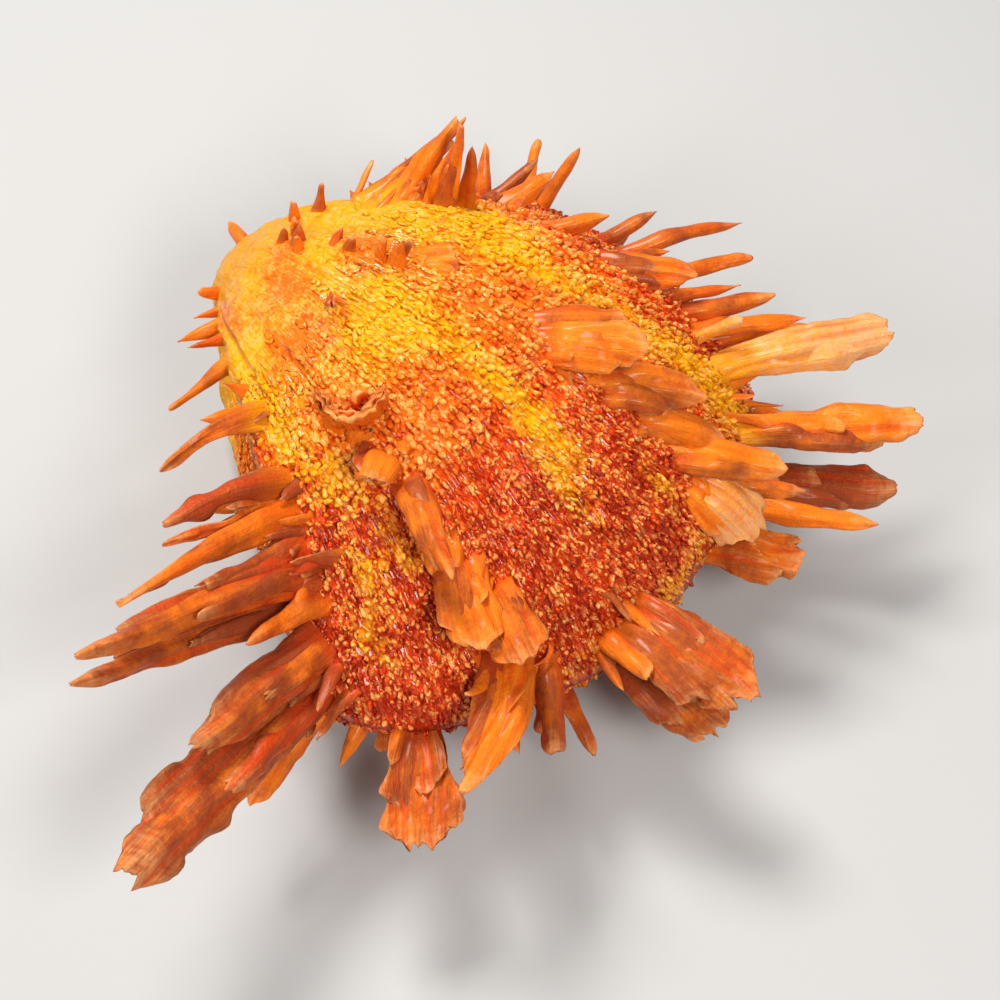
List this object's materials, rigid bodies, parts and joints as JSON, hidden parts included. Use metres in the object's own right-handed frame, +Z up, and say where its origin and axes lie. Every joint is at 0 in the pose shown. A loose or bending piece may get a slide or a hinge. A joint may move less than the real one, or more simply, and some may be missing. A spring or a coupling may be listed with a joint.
{
  "type": "thorny oyster shell",
  "caption": "Thorny oyster shell, both valves shut, orange and red with long leafy spines, lying on its lower valve.",
  "frame": {"origin": "under the middle of the shell's overall box, on the surface that it rests on", "axes": "+Z up through the upper valve, +X along the hinge line, -Y toward the wide rounded margin"},
  "size_m": [0.192, 0.1452, 0.0856],
  "materials": {
    "upper_shell": "glossy shell, yellow at the beak, orange and dark red over granular ribs",
    "lower_shell": "glossy shell, pale yellow at the scar, orange and red over ribs",
    "ligament": "dark brown horny ligament, satin"
  },
  "bodies": {
    "root": {"upper_valve": "upper_shell", "lower_valve": "lower_shell", "hinge_ligament": "ligament"}
  },
  "joints": []
}
